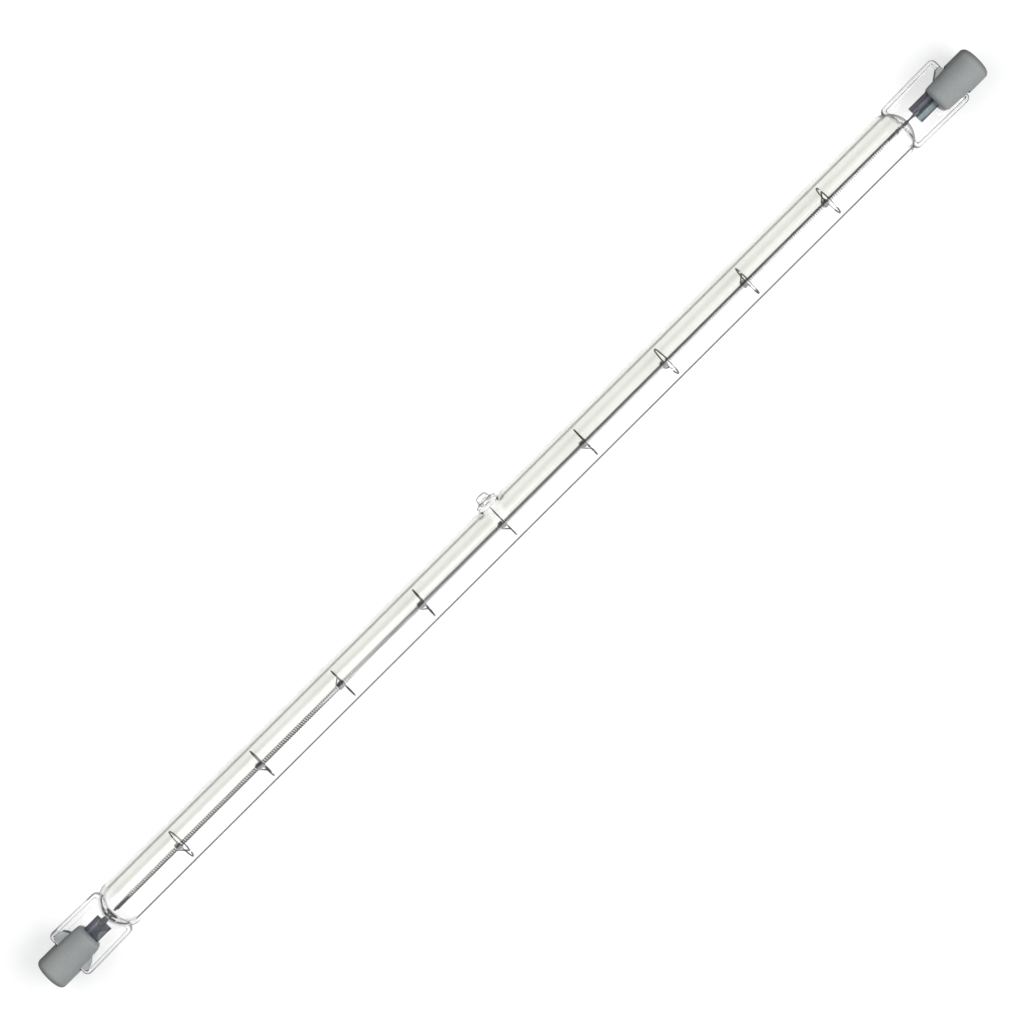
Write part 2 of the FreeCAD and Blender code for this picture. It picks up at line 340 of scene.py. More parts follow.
def worked_out(tree, operation, first, second=None):
    """A Math node on two sockets or plain numbers, and its result."""
    node = tree.nodes.new("ShaderNodeMath")
    node.operation = operation
    for socket, value in zip(node.inputs, (first, second)):
        if isinstance(value, (int, float)):
            socket.default_value = value
        elif value is not None:
            tree.links.new(value, socket)
    return node.outputs["Value"]


def ramp(tree, value, low, high, start=0.0, stop=1.0):
    """A smooth rise from start to stop while the value goes from low to high."""
    node = tree.nodes.new("ShaderNodeMapRange")
    node.interpolation_type = "SMOOTHSTEP"
    for socket, level in (("From Min", low), ("From Max", high), ("To Min", start), ("To Max", stop)):
        node.inputs[socket].default_value = level
    tree.links.new(value, node.inputs["Value"])
    return node.outputs["Result"]


def band(tree, value, low, rise, fall, high):
    """A mask that is 1 between rise and fall, and fades to 0 at low and at high."""
    return product(tree, ramp(tree, value, low, rise), ramp(tree, value, fall, high, 1.0, 0.0))


def product(tree, *factors):
    """Several sockets or numbers multiplied together."""
    result = factors[0]
    for factor in factors[1:]:
        result = worked_out(tree, "MULTIPLY", result, factor)
    return result


def total(tree, *terms):
    """Several sockets or numbers added together."""
    result = terms[0]
    for term in terms[1:]:
        result = worked_out(tree, "ADD", result, term)
    return result


def inverted(tree, mask):
    """A mask that is 1 where the other is 0."""
    return worked_out(tree, "SUBTRACT", 1.0, mask)


def mixed(tree, factor, first, second):
    """A Mix Shader node on a mask and two shaders' outputs, and its result."""
    node = tree.nodes.new("ShaderNodeMixShader")
    for socket, value in zip(node.inputs, (factor, first, second)):
        tree.links.new(value, socket)
    return node.outputs["Shader"]


def object_axes(tree):
    """The piece's own X, Y and Z."""
    where = tree.nodes.new("ShaderNodeTexCoord")
    axes = tree.nodes.new("ShaderNodeSeparateXYZ")
    tree.links.new(where.outputs["Object"], axes.inputs["Vector"])
    return axes.outputs


# How dark the painted shade on the glass is where the photograph shows a line or a grey wash: a dark sheet
# stands in for the shade that the glass shows; pairs are left and right
LOWER_LINE = 0.95
UPPER_LINE = 0.52
BORE_END_LINE = 0.2
INNER_RIM_LINES = (0.5, 0.8)
OUTER_RIM_LINES = (0.42, 0.3)
DOME_LINES = (0.15, 0.6)
PLATE_SHADE = 0.09
TIP_LINE = 0.75
POCKET_LINE = 0.1
# Painted shade over the tube's upper half, with a band in it and more on its outer wall
UPPER_HALF_SHADE = 0.115
UPPER_SHADE_NEAR_TIP = 0.5
UPPER_SHADE_BAND = 0.04
OUTER_WALL_SHADE = 0.08
SPOT = 0.4
PAINTED_SHADE_LIMIT = 0.92

# How much of the view goes straight through the blown ends and through the tip's root
CALM = 0.6
TIP_CALM = 0.85

# Slants that Layer Weight gives, from 0 square to the view to 1 along it, between which the masks rise.
# Seen from within the glass, the bore's wall turns from window to mirror at a slant of 0.271.
LOWER_LINE_SLANTS = (0.27, 0.284, 0.316, 0.333)
UPPER_LINE_SLANTS = (0.222, 0.252, 0.285, 0.33)
BORE_END_SLANTS = (0.86, 0.97)
RIM_SLANTS = (0.05, 0.4)
SHOULDER_SLANTS = (0.5, 0.7)
TIP_SLANTS = (0.35, 0.8)
CALM_SLANTS = (0.4, 0.7)

# Places between which the masks rise or fall. First those from the lamp's middle, along the tube
LEFT_TO_RIGHT = (-1.0, 1.0)
ENDS_FROM = (106.0, 107.5)
UPPER_SHADE_UNTIL = (106.0, 109.0)
SEAL_TAIL = (119.8, 120.0)
SPOTS_ON_RIM = ((-121.3, -120.8, -119.6, -119.1), (-111.4, -110.9, -109.6, -109.1))
SPOTS_ON_SHOULDER = (105.4, 105.8, 106.5, 107.0)
# From the tip, along the tube
TIP_UNTIL = (1.8, 3.4)
TIP_ROOT_UNTIL = (2.9, 3.6)
UPPER_SHADE_FROM_TIP = (0.6, 2.6)
# Across the tube, towards the tip or to both sides
TIP_SIDE = (-0.4, 0.6)
ABOVE_TUBE = (5.1, 5.3)
TIP_ROOT_FROM = (3.2, 3.6)
UPPER_SHADE_BAND_PLACES = (1.7, 2.2, 2.6, 3.1)
OUTER_WALL_SHADE_FROM = (3.9, 4.1)
OUTER_WALL_SHADE_UNTIL = (4.4, 5.0)
RIM_FROM = (4.05, 4.2)
OUTERMOST = (4.85, 5.05)
SHOULDER_FROM = (3.6, 3.9)
# Up or down from the middle of the seal
PLATE_UNTIL = (1.47, 1.52)
# The radius of the shell between the bore's wall and the outside, and how far round it the mask falls
SHELL_RADIUS = 4.5
SHELL_EDGE = (0.97, 1.03)


def painted_shade_masks(tree):
    """How dark the glass's painted shade is at each place, where its upper half takes a painted shade tint,
    and where the glass bends the view less.
    """
    along, across, upward = object_axes(tree)
    slant = tree.nodes.new("ShaderNodeLayerWeight")
    slant.inputs["Blend"].default_value = 0.5
    facing = slant.outputs["Facing"]
    within = tree.nodes.new("ShaderNodeNewGeometry").outputs["Backfacing"]
    outside = inverted(tree, within)

    def rise(value, places, start=0.0, stop=1.0):
        return ramp(tree, value, *mm(*places), start, stop)

    def by_slant(slants):
        return ramp(tree, facing, *slants)

    def per_end(values):
        return ramp(tree, right_end, 0.0, 1.0, *values)

    squares = total(tree, product(tree, across, across), product(tree, upward, upward))
    radius = worked_out(tree, "SQRT", squares)
    from_middle = worked_out(tree, "ABSOLUTE", along)
    sideways = worked_out(tree, "ABSOLUTE", across)
    height = worked_out(tree, "ABSOLUTE", upward)
    from_tip = worked_out(tree, "ABSOLUTE", worked_out(tree, "SUBTRACT", along, mm(TIP_PLACE)))
    right_end = rise(along, LEFT_TO_RIGHT)

    # A shell halfway through the glass tells the bore's wall from the outside
    shell_start, shell_depth = (per_end(mm(*(end[key] for end in ENDS.values())))
                                for key in ("shell_start", "shell_depth"))
    beyond = worked_out(tree, "MAXIMUM", worked_out(tree, "SUBTRACT", from_middle, shell_start), 0.0)
    beyond = worked_out(tree, "DIVIDE", beyond, shell_depth)
    outward = worked_out(tree, "DIVIDE", radius, mm(SHELL_RADIUS))
    shell = total(tree, product(tree, beyond, beyond), product(tree, outward, outward))
    bore = ramp(tree, shell, *SHELL_EDGE, 1.0, 0.0)
    outer = inverted(tree, bore)

    # The bore's two lines and its rounded ends
    pressed = rise(from_middle, ENDS_FROM)
    tip_side = rise(across, TIP_SIDE)
    at_tip = product(tree, rise(from_tip, TIP_UNTIL, 1.0, 0.0), tip_side)
    lower = product(tree, band(tree, facing, *LOWER_LINE_SLANTS), LOWER_LINE, inverted(tree, tip_side))
    upper = product(tree, band(tree, facing, *UPPER_LINE_SLANTS), UPPER_LINE, tip_side)
    bore_line = product(tree, total(tree, lower, upper), within, bore, inverted(tree, pressed),
                        inverted(tree, at_tip))
    bore_end = product(tree, by_slant(BORE_END_SLANTS), within, bore, pressed, BORE_END_LINE)

    # The seals' rims and the shoulders of the blown ends
    on_plate = rise(height, PLATE_UNTIL, 1.0, 0.0)
    edges = worked_out(tree, "MAXIMUM", rise(sideways, RIM_FROM), rise(from_middle, SEAL_TAIL))
    outermost = rise(sideways, OUTERMOST)
    rim_line = total(tree, product(tree, outermost, per_end(OUTER_RIM_LINES)),
                     product(tree, inverted(tree, outermost), per_end(INNER_RIM_LINES)))
    rims = product(tree, by_slant(RIM_SLANTS), on_plate, edges, rim_line)
    shoulders = product(tree, by_slant(SHOULDER_SLANTS), inverted(tree, rims), per_end(DOME_LINES))
    pressed_lines = product(tree, total(tree, rims, shoulders, PLATE_SHADE), outside, pressed, outer)
    rim_spots = total(tree, *(band(tree, along, *mm(*places)) for places in SPOTS_ON_RIM))
    shoulder_spots = product(tree, band(tree, along, *mm(*SPOTS_ON_SHOULDER)), rise(sideways, SHOULDER_FROM))
    spots = total(tree, product(tree, tip_side, outermost, rim_spots), shoulder_spots)

    # The tip's painted shade lines, and the painted shade over the tube's upper half
    tip_shade = total(tree, product(tree, outside, TIP_LINE), product(tree, within, POCKET_LINE))
    tip_lines = product(tree, by_slant(TIP_SLANTS), at_tip, rise(across, ABOVE_TUBE), tip_shade)
    beside_tip = ramp(tree, rise(from_tip, UPPER_SHADE_FROM_TIP), 0.0, 1.0, UPPER_SHADE_NEAR_TIP, 1.0)
    along_bore = rise(from_middle, UPPER_SHADE_UNTIL, 1.0, 0.0)
    banded_shading = product(tree, band(tree, across, *mm(*UPPER_SHADE_BAND_PLACES)), UPPER_SHADE_BAND)
    outer_wall_shading = product(tree, rise(across, OUTER_WALL_SHADE_FROM), rise(across, OUTER_WALL_SHADE_UNTIL, OUTER_WALL_SHADE, 0.0))
    upper_half_shading = product(tree, tip_side, outside, along_bore, beside_tip, total(tree, UPPER_HALF_SHADE, banded_shading, outer_wall_shading))

    painted_shade = total(tree, bore_line, bore_end, pressed_lines, tip_lines, upper_half_shading,
                 product(tree, spots, outside, SPOT))
    blown_ends = product(tree, pressed, inverted(tree, edges))
    tip_root = product(tree, rise(from_tip, TIP_ROOT_UNTIL, 1.0, 0.0), rise(across, TIP_ROOT_FROM))
    return {
        "painted_shade": worked_out(tree, "MINIMUM", painted_shade, PAINTED_SHADE_LIMIT),
        "painted_shade_tint": product(tree, tip_side, along_bore, beside_tip),
        "calm": product(tree, by_slant(CALM_SLANTS), total(
            tree, product(tree, blown_ends, CALM), product(tree, tip_root, TIP_CALM))),
    }


def quartz_material():
    """Clear quartz that lets lamplight through. Where it bends the view away to the dark, a dark sheet mixed
    into it is painted shade, and its upper half has a slight beige painted shade tint.
    """
    material = bpy.data.materials.new("Clear_Quartz")
    material.use_nodes = True
    tree = material.node_tree
    nodes, links = tree.nodes, tree.links
    masks = painted_shade_masks(tree)
    shader = nodes["Principled BSDF"]
    shader.inputs["Transmission Weight"].default_value = 1.0
    shader.inputs["IOR"].default_value = 1.46
    shader.inputs["Roughness"].default_value = 0.0
    # Painted shade: the base colour turns slightly beige over the tube's upper half
    colour = nodes.new("ShaderNodeMix")
    colour.data_type = "RGBA"
    colour.inputs["A"].default_value = (1.0, 1.0, 0.998, 1)
    colour.inputs["B"].default_value = (0.985, 0.985, 0.955, 1)
    links.new(masks["painted_shade_tint"], colour.inputs["Factor"])
    links.new(colour.outputs["Result"], shader.inputs["Base Color"])
    # The dark diffuse sheet is the painted shade that the masks mix in
    dark = nodes.new("ShaderNodeBsdfDiffuse")
    dark.inputs["Color"].default_value = (0.03, 0.03, 0.028, 1)
    straight = nodes.new("ShaderNodeBsdfTransparent")
    clear = nodes.new("ShaderNodeBsdfTransparent")
    shadow = nodes.new("ShaderNodeLightPath").outputs["Is Shadow Ray"]
    # Where the blown ends bend the view too far, part of it goes straight through
    calmed = mixed(tree, masks["calm"], shader.outputs["BSDF"], straight.outputs["BSDF"])
    with_painted_shade = mixed(tree, masks["painted_shade"], calmed, dark.outputs["BSDF"])
    lit = mixed(tree, shadow, with_painted_shade, clear.outputs["BSDF"])
    links.new(lit, nodes["Material Output"].inputs["Surface"])
    return material


# Places along the lamp between which the bands of a tint drift
DRIFT_RUN = (-60, -15)


def tinted(material, axis, stops, drift=0.0):
    """Multiplies a material's colour by bands along one of its piece's axes, which paint light and shade.

    A stop is a place and a grey or RGB. Towards the left end the bands are read further down the axis, by up
    to the drift.
    """
    tree = material.node_tree
    nodes, links = tree.nodes, tree.links
    shader = nodes["Principled BSDF"]
    before = shader.inputs["Base Color"].links[0].from_socket
    axes = object_axes(tree)
    low, high = stops[0][0], stops[-1][0]
    part = nodes.new("ShaderNodeMapRange")
    part.inputs["From Min"].default_value = mm(low)
    part.inputs["From Max"].default_value = mm(high)
    value = axes[axis]
    if drift:
        value = total(tree, value, ramp(tree, axes["X"], *mm(*DRIFT_RUN), mm(-drift), 0.0))
    links.new(value, part.inputs["Value"])
    bands = nodes.new("ShaderNodeValToRGB")
    elements = bands.color_ramp.elements
    while len(elements) < len(stops):
        elements.new(0.5)
    for element, (place_mm, tone) in zip(elements, stops):
        element.position = (place_mm - low) / (high - low)
        element.color = (tone, tone, tone, 1) if isinstance(tone, float) else (*tone, 1)
    links.new(part.outputs["Result"], bands.inputs["Fac"])
    both = nodes.new("ShaderNodeMix")
    both.data_type = "RGBA"
    both.blend_type = "MULTIPLY"
    both.inputs["Factor"].default_value = 1.0
    links.new(before, both.inputs["A"])
    links.new(bands.outputs["Color"], both.inputs["B"])
    links.new(both.outputs["Result"], shader.inputs["Base Color"])
    return material


# What several metals share
DARK_LEAD = {"light": (0.10, 0.10, 0.11), "dark": (0.04, 0.04, 0.045), "roughness": (0.3, 0.5), "coarse": 600,
             "bump": 0.01, "metallic": 0.6}
FOIL = {"light": (1, 1, 1), "dark": (0.55, 0.55, 0.6), "roughness": (0.3, 0.5), "coarse": 500, "fine": 2500,
        "share": 0.4, "bump": 0.02, "metallic": 0.4}

# Bands of the tints, which paint light and shade: places and greys or colours. The coil's tints are each an
# axis, bands and a drift; along Z the front strands are painted dark and the back ones light towards the left
# end, and along Y the upper side is painted dark and the lower side light
COIL_PAINTED_LIGHT_AND_SHADE = (
    ("Z", ((-1.75, 1.0), (-1.32, 1.0), (-1.18, 0.05), (-0.66, 0.05), (-0.56, 1.0), (0.6, 1.0)), 1.2),
    ("Y", ((-1.2, 0.02), (-1.0, 0.03), (-0.85, 0.5), (-0.65, 1.0), (-0.55, 0.4), (-0.14, 0.4), (-0.02, 0.03),
           (0.12, 0.01), (0.6, 0.02)), 0.7),
)
# Painted shade on the supports' wire, with a band of painted light on its lower side by the coil
SUPPORT_PAINTED_SHADE = ((-4.0, 0.01), (-0.95, 0.01), (-0.85, 0.35), (-0.1, 0.3), (0.05, 0.005), (4.0, 0.01))
# A painted highlight on a stretch of the left lead near the coil; elsewhere it is darkened like the right
# lead
LEFT_LEAD_PAINTED_HIGHLIGHT = ((-113.5, 0.07), (-111.15, 0.07), (-110.9, 1.0), (-109.4, 1.0), (-109.15, 0.07),
                  (-104.0, 0.07))
# Painted highlights and shade on the foils: light lengthwise bands and darker long edges
FOIL_PAINTED_HIGHLIGHTS_AND_SHADE = {
    "left": ((-2.15, (0.02, 0.025, 0.03)), (-1.85, (0.03, 0.035, 0.04)), (-1.6, (0.10, 0.11, 0.13)),
             (-0.6, (0.06, 0.07, 0.085)), (0.1, (0.06, 0.065, 0.08)), (0.6, (0.17, 0.175, 0.19)),
             (0.9, (0.06, 0.065, 0.08)), (1.2, (0.06, 0.06, 0.08)), (1.65, (0.02, 0.02, 0.03))),
    "right": ((-2.15, (0.03, 0.035, 0.04)), (-1.98, (0.04, 0.05, 0.055)), (-1.75, (0.17, 0.22, 0.23)),
              (-1.0, (0.24, 0.30, 0.31)), (-0.8, (0.08, 0.12, 0.13)), (-0.65, (0.01, 0.02, 0.025)),
              (-0.25, (0.01, 0.02, 0.025)), (0.05, (0.10, 0.11, 0.14)), (0.4, (0.16, 0.15, 0.19)),
              (0.8, (0.04, 0.04, 0.055)), (1.2, (0.07, 0.07, 0.09)), (1.65, (0.03, 0.03, 0.045))),
}
# Painted shade on the caps, a little brown, darker towards their upper side, at the end rim and at the jaws'
# inner end: across the cap from its own axis, and along it
CAP_PAINTED_SHADE_ACROSS = ((-3.7, 0.95), (-3.2, 1.0), (0.5, 0.96), (2.4, 0.86), (3.1, (0.56, 0.53, 0.51)),
                   (3.7, (0.16, 0.145, 0.14)))
CAP_PAINTED_SHADE_ALONG = ((CAP_INNER - 0.1, 0.8), (CAP_INNER + 0.6, 1.0), (CAP_END - 1.2, 0.95),
                  (CAP_END - 0.45, (0.62, 0.6, 0.58)), (CAP_END + 0.1, (0.25, 0.235, 0.23)))

SPECKLE = speckle_group()
quartz = quartz_material()
cement = painted("Cap_Cement", (0.40, 0.42, 0.42), (0.25, 0.265, 0.265), (0.75, 0.95),
                 coarse=700, fine=3500, share=0.4, bump=0.05)
tungsten = painted("Coiled_Tungsten", (1.0, 1.0, 1.0), (0.85, 0.85, 0.85), (0.6, 0.75),
                   coarse=400, fine=5000, metallic=0.05)
# Painted light and shade on the coil
for axis, stops, drift in COIL_PAINTED_LIGHT_AND_SHADE:
    tinted(tungsten, axis, stops, drift)
support_metal = painted("Support_Tungsten", (1.0, 1.0, 1.0), (0.7, 0.7, 0.7), (0.55, 0.7),
                        coarse=600, fine=5000, metallic=0.3)
# Painted shade on the supports, with painted light on their lower side by the coil
tinted(support_metal, "Y", SUPPORT_PAINTED_SHADE)
for metal in (tungsten, support_metal):
    metal.node_tree.nodes["Principled BSDF"].inputs["Specular IOR Level"].default_value = 0.2
lead_metal = painted("Molybdenum_Lead", **DARK_LEAD)
lead_metals = {
    "left": painted("Molybdenum_Lead_Left", (0.75, 0.75, 0.78), (0.55, 0.55, 0.58), (0.5, 0.7),
                    coarse=600, bump=0.01, metallic=0.1),
    "right": painted("Molybdenum_Lead_Right", **DARK_LEAD),
}
# The left lead is a lighter copy of the lead metal, darkened except for a painted highlight near the coil
tinted(lead_metals["left"], "X", LEFT_LEAD_PAINTED_HIGHLIGHT)
contact_metal = painted("Nickel_Contact", (0.62, 0.60, 0.56), (0.45, 0.43, 0.40), (0.25, 0.4),
                        coarse=400, bump=0.01, metallic=0.9)
foil_metals = {"left": painted("Molybdenum_Foil_Left", **FOIL),
               "right": painted("Molybdenum_Foil_Right", **FOIL)}
ceramics = {}
for end_name, end in ENDS.items():
    # Painted highlights and shade on each foil
    tinted(foil_metals[end_name], "Y", FOIL_PAINTED_HIGHLIGHTS_AND_SHADE[end_name])
    shaded_ceramic = painted("Steatite_Ceramic_" + end_name, (0.315, 0.335, 0.325), (0.255, 0.27, 0.265), (0.62, 0.8),
                    coarse=180, fine=2600, share=0.4, bump=0.01)
    # Painted shade on the cap, darker towards its upper side and at its end rim
    tinted(shaded_ceramic, "Y", tuple((end["shift"] + place_mm, tone) for place_mm, tone in CAP_PAINTED_SHADE_ACROSS))
    stops = sorted((end["side"] * place_mm, tone) for place_mm, tone in CAP_PAINTED_SHADE_ALONG)
    ceramics[end_name] = tinted(shaded_ceramic, "X", stops)


# Filament and supports

COIL_PITCH = 0.5
COIL_STEPS = 12
COIL_SECTION = 5


def filament():
    """The coil: the wire's section is carried round the axis and along it."""
    start = -ENDS["left"]["coil"] + COIL_WIRE / 2
    stop = ENDS["right"]["coil"] - COIL_WIRE / 2
    turns = int((stop - start) / COIL_PITCH)
    pitch = (stop - start) / turns
    bpy.ops.object.select_all(action="DESELECT")
    bpy.ops.mesh.primitive_circle_add(vertices=COIL_SECTION, radius=mm(COIL_WIRE / 2), fill_type="NOTHING",
                                      location=mm(start, COIL_RADIUS - COIL_WIRE / 2, 0))
    piece = settle(bpy.context.object)
    piece.name = piece.data.name = "filament_coil"
    finish_modifier(piece, "SCREW", axis="X", angle=2 * math.pi, screw_offset=mm(pitch), iterations=turns,
                    steps=COIL_STEPS, render_steps=COIL_STEPS, use_smooth_shade=True,
                    use_merge_vertices=False)
    edit(piece)
    bpy.ops.mesh.select_all(action="DESELECT")
    bpy.ops.mesh.select_non_manifold()
    bpy.ops.mesh.edge_face_add()
    bpy.ops.mesh.select_all(action="SELECT")
    bpy.ops.mesh.normals_make_consistent(inside=False)
    settle(piece)
    smooth(piece, 70)
    return piece


# The support's wire: turns, steps, pull along X and change of radius of each stretch
SUPPORT_SECTION = 7
SUPPORT_CLEARANCE = 0.01
GRIP_RADIUS = COIL_RADIUS + SUPPORT_CLEARANCE + SUPPORT_WIRE / 2
GRIP_SETBACK = 0.25
GRIP_LENGTH = 0.99
SUPPORT_RUNS = (
    {"turns": 3.0, "steps": 36, "along": -GRIP_LENGTH, "radius": 0.0},
    {"turns": 0.3, "steps": 14, "along": GRIP_LENGTH + GRIP_SETBACK,
     "radius": SUPPORT_RING - SUPPORT_WIRE / 2 - GRIP_RADIUS},
    {"turns": 0.9, "steps": 42, "along": 0.0, "radius": 0.0},
)
# The flare has gone its whole way along X after one part in so many of its swing
FLARE_HASTE = 1.9
# The ring is what lies this far from the axis and past this place
RING_FROM_AXIS = 1.1
RING_FROM_PLACE = -0.5
# How each support is turned about X and how its ring leans, in degrees
SUPPORT_TURN = (180, 165, 20, 200, 185, 175, 190, 10, 0)
RING_LEAN = (0.0, 3.0, 2.6, 0.0, 0.0, 0.0, 4.5, 0.0, 1.0)
RING_CANT = (0.0, 0.0, 0.0, 4.0, 0.0, 1.0, 0.0, 1.5, 0.0)


def eased(part):
    """A share of the way that starts and stops gently."""
    return part * part * (3 - 2 * part)


def filament_support():
    """One support: a wire wound tightly round the coil that swings out into a ring."""
    angle = -360 * (SUPPORT_RUNS[0]["turns"] + SUPPORT_RUNS[1]["turns"] / 3)
    bpy.ops.object.select_all(action="DESELECT")
    bpy.ops.mesh.primitive_circle_add(vertices=SUPPORT_SECTION, radius=mm(SUPPORT_WIRE / 2), fill_type="NGON",
                                      location=mm(-GRIP_SETBACK, GRIP_RADIUS, 0))
    piece = begin("filament_support_wire")
    bpy.ops.mesh.select_all(action="SELECT")
    turn(angle, "X")
    for run in SUPPORT_RUNS:
        swing = 360 * run["turns"] / run["steps"]
        grown = shifted = 0.0
        for step in range(run["steps"]):
            part = (step + 1) / run["steps"]
            angle += swing
            growth = run["radius"] * eased(part) - grown
            grown += growth
            advance = eased(min(part * FLARE_HASTE, 1.0)) if run["radius"] else part
            shift = run["along"] * advance - shifted
            shifted += shift
            heading = math.radians(angle)
            pull()
            turn(swing, "X")
            move(shift, growth * math.cos(heading), growth * math.sin(heading))
    bpy.ops.mesh.select_all(action="SELECT")
    bpy.ops.mesh.normals_make_consistent(inside=False)
    settle(piece)
    smooth(piece, 60)
    return piece


def filament_supports():
    """Nine supports from one: each is turned, its ring is leaned and it is moved to its place."""
    first = filament_support()
    for index, (swing, lean, cant) in enumerate(zip(SUPPORT_TURN, RING_LEAN, RING_CANT)):
        copy = bpy.data.objects.new("support_%d" % (index + 1), first.data.copy())
        bpy.context.scene.collection.objects.link(copy)
        edit(copy)
        bpy.ops.mesh.select_all(action="SELECT")
        turn(swing, "X")
        pick(copy, lambda point: math.hypot(point.y, point.z) > RING_FROM_AXIS and point.x > RING_FROM_PLACE)
        turn(lean, "Y")
        turn(-cant, "Z")
        bpy.ops.mesh.select_all(action="SELECT")
        move(SUPPORT_MIDDLE + (index - 4) * SUPPORT_SPACING)
        settle(copy)
        place(copy, "tungsten", support_metal, "filament_support_%d" % (index + 1))
    bpy.data.objects.remove(first)


# Quartz envelope


# The seal's half widths at its root and its end, the rounding of its corners, and its section from the edge
# inwards: how far each step is inset and the half thickness that it comes to
SEAL_HALF = 5.28
SEAL_END_HALF = 5.5
SEAL_CORNER = 1.15
RIM_STEPS = ((0.0, 1.05), (0.06, 1.2), (0.08, 1.32), (0.1, 1.4), (0.13, 1.45), (0.2, 1.45), (0.12, 1.41),
             (0.11, 1.31), (0.1, 1.21), (0.1, 1.16))


def seal_plate(name, end):
    """One pressed end: a bar that is tapered, rounded and sunk between its rims."""
    start = end["dome"] - SEAL_ROOT
    half = RIM_STEPS[0][1]
    plate = box("seal_" + name, (start, -SEAL_HALF, -half), (end["seal"], SEAL_HALF, half))
    pick(plate, lambda point: point.x > start + SEAL_ROOT)
    scale(1, SEAL_END_HALF / SEAL_HALF, 1)
    pick_edges(plate, lambda a, b: abs(a.z - b.z) > half)
    bpy.ops.mesh.bevel(offset=mm(SEAL_CORNER), segments=8, affect="EDGES")
    pick_faces(plate, lambda middle, normal: abs(normal.z) > 0.9)
    for inset, raised in RIM_STEPS[1:]:
        bpy.ops.mesh.inset(thickness=mm(inset), use_individual=True)
        scale(1, 1, raised / half)
        half = raised
    bpy.ops.mesh.select_all(action="SELECT")
    bpy.ops.mesh.normals_make_consistent(inside=False)
    settle(plate)
    return plate


def pick_edges(piece, test):
    """Selects the edges whose two ends, in millimetres, pass the test."""
    mesh = bmesh.from_edit_mesh(piece.data)
    bpy.ops.mesh.select_mode(type="EDGE")
    for edge in mesh.edges:
        edge.select_set(bool(test(edge.verts[0].co / MILLIMETRE, edge.verts[1].co / MILLIMETRE)))
    bmesh.update_edit_mesh(piece.data)


def dome(end):
    """Places and radii of the tube's rounded end, from the tube to the axis."""
    depth = end["dome_depth"]
    ball = (TUBE_RADIUS ** 2 + depth ** 2) / (2 * depth)
    edge = math.degrees(math.asin(TUBE_RADIUS / ball)) if depth < ball else 90
    points = arc((end["dome"] - ball, 0), ball, edge, 0, 14)
    return points[:-1] + [(end["dome"], 0.0)]


# Segments round the tube, and rings near the tip, which its joint with the tube needs
TUBE_SEGMENTS = 96
TUBE_RINGS = (-6, -4.5, -3.5, -2.5, -1.5, -0.5, 0.5, 1.5, 2.5, 3.5, 4.5, 6)
BORE_RINGS = (-6, -3.5, -2.5, -1.5, 1.5, 2.5, 3.5, 6)


def tube_blank():
    """The tube's outside with its rounded ends."""
    left = [(-x, r) for x, r in reversed(dome(ENDS["left"]))]
    near_tip = [(TIP_PLACE + step, TUBE_RADIUS) for step in TUBE_RINGS]
    return turned("quartz_tube", left + near_tip + dome(ENDS["right"]), TUBE_SEGMENTS)


def bore_blank():
    """What is hollow in the tube."""
    left, right = ENDS["left"], ENDS["right"]
    profile = [(-left["bore_end"], 0.0)] + [(-x, r) for x, r in reversed(left["bore"])]
    profile += [(TIP_PLACE + step, BORE_RADIUS) for step in BORE_RINGS]
    profile += list(right["bore"]) + [(right["bore_end"], 0.0)]
    return turned("bore", profile, TUBE_SEGMENTS)


def stood_up(piece):
    """A form that was turned round X is set upright along +Y at the tip's place."""
    edit(piece)
    bpy.ops.mesh.select_all(action="SELECT")
    turn(90, "Z")
    move(TIP_PLACE)
    return settle(piece)


# Heights above the axis and radii of the melted tip and of the pocket that the bore has below it
TIP_PROFILE = ((3.6, 0), (3.6, 2.9), (4.5, 2.9), (4.85, 2.7), (5.05, 2.5), (5.2, 2.4), (5.4, 2.42),
               (5.55, 2.38), (5.66, 2.2), (5.7, 1.9), (5.78, 1.65), (5.95, 1.46), (6.3, 1.36), (6.7, 1.28),
               (6.95, 1.14), (7.12, 0.85), (7.22, 0.45), (7.25, 0))
POCKET_PROFILE = ((2.9, 0), (2.9, 3.0), (3.5, 2.8), (4.0, 2.45), (4.4, 2.05), (4.8, 1.55), (5.15, 1.12),
                  (5.5, 0.8), (5.8, 0.56), (5.95, 0.34), (6.02, 0))


def envelope():
    """The tube, its pressed ends and its tip made one body, then hollowed."""
    body = tube_blank()
    for name, end in ENDS.items():
        plate = seal_plate(name, end)
        if end["side"] < 0:
            mirrored(plate)
        combine(body, plate, "UNION")
    tip = stood_up(turned("tip", TIP_PROFILE, 64))
    combine(body, tip, "UNION")
    combine(body, bore_blank(), "DIFFERENCE")
    pocket = stood_up(turned("pocket", POCKET_PROFILE, 48))
    combine(body, pocket, "DIFFERENCE")
    body.name = body.data.name = "quartz_bulb"
    smooth(body, 38)
    return body


# Caps

JAW_EDGE = 1.2
CAP_EDGE = 1.0
RECESS_EDGE = 0.2


